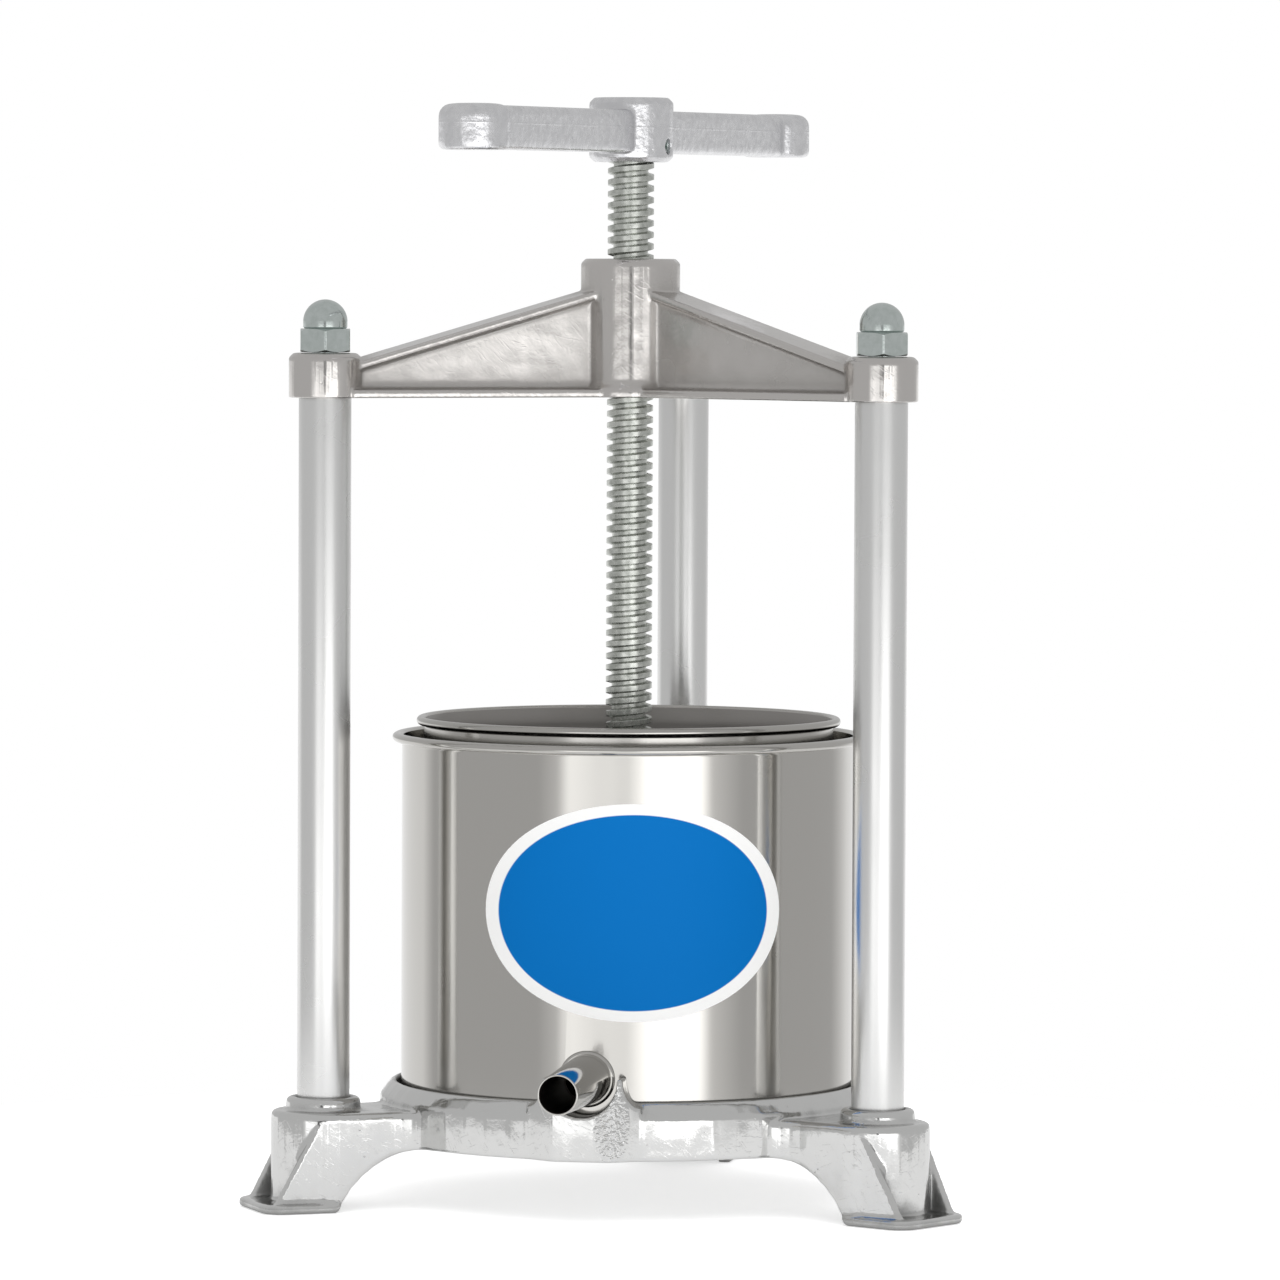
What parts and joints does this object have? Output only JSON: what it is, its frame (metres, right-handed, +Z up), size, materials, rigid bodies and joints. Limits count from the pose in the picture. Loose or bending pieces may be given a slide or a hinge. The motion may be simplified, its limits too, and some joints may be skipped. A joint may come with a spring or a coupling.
{
  "type": "cheese press",
  "caption": "Bench-top cheese press: a hand-turned screw lowers a ribbed plate into a perforated basket, which stands in a spouted vessel on a footed base.",
  "frame": {"origin": "centre of the footprint on the plane that the feet stand on, on the screw's axis", "axes": "+Z up along the screw; -Y towards the front, where the spout points; +X to the right as seen from the front"},
  "size_m": [0.251, 0.2737, 0.3817],
  "materials": {
    "cast_aluminium": "satin-polished casting",
    "polished_tube": "polished stainless tube",
    "stainless_sheet": "bright stainless sheet",
    "zinc_plated_steel": "bright zinc plate"
  },
  "bodies": {
    "frame": {"base_casting": "cast_aluminium", "pillar_tube_back": "polished_tube", "pillar_tube_left": "polished_tube", "pillar_tube_right": "polished_tube", "tie_rod_back": "zinc_plated_steel", "tie_rod_left": "zinc_plated_steel", "tie_rod_right": "zinc_plated_steel", "acorn_nut_back": "zinc_plated_steel", "acorn_nut_left": "zinc_plated_steel", "acorn_nut_right": "zinc_plated_steel", "base_washer_back": "zinc_plated_steel", "base_washer_left": "zinc_plated_steel", "base_washer_right": "zinc_plated_steel", "base_nut_back": "zinc_plated_steel", "base_nut_left": "zinc_plated_steel", "base_nut_right": "zinc_plated_steel", "yoke_casting": "cast_aluminium"},
    "plate": {"press_plate": "cast_aluminium", "plate_grub_screw": "zinc_plated_steel"},
    "screw": {"press_screw": "zinc_plated_steel", "handle_casting": "cast_aluminium", "handle_roll_pin": "zinc_plated_steel"},
    "container": {"container_shell": "stainless_sheet", "spout_tube": "stainless_sheet"},
    "basket": {"basket_shell": "stainless_sheet", "basket_strainer": "stainless_sheet"}
  },
  "joints": [
    {"name": "plate_travel", "type": "slide", "parent": "frame", "child": "plate", "axis": [0, 0, 1], "range_m": [-0.033, 0.144]},
    {"name": "screw_turn", "type": "hinge", "parent": "plate", "child": "screw", "pos_m": [0, 0, 0], "axis": [0, 0, 1], "range_deg": [-2970, 12960]},
    {"name": "container_lift", "type": "slide", "parent": "frame", "child": "container", "axis": [0, 0, 1], "range_m": [0, 0.018]},
    {"name": "basket_lift", "type": "slide", "parent": "container", "child": "basket", "axis": [0, 0, 1], "range_m": [0, 0.011]}
  ],
  "couplings": [
    {"joint": "plate_travel", "follows": "screw_turn", "m_per_rad": 0.00063662}
  ]
}
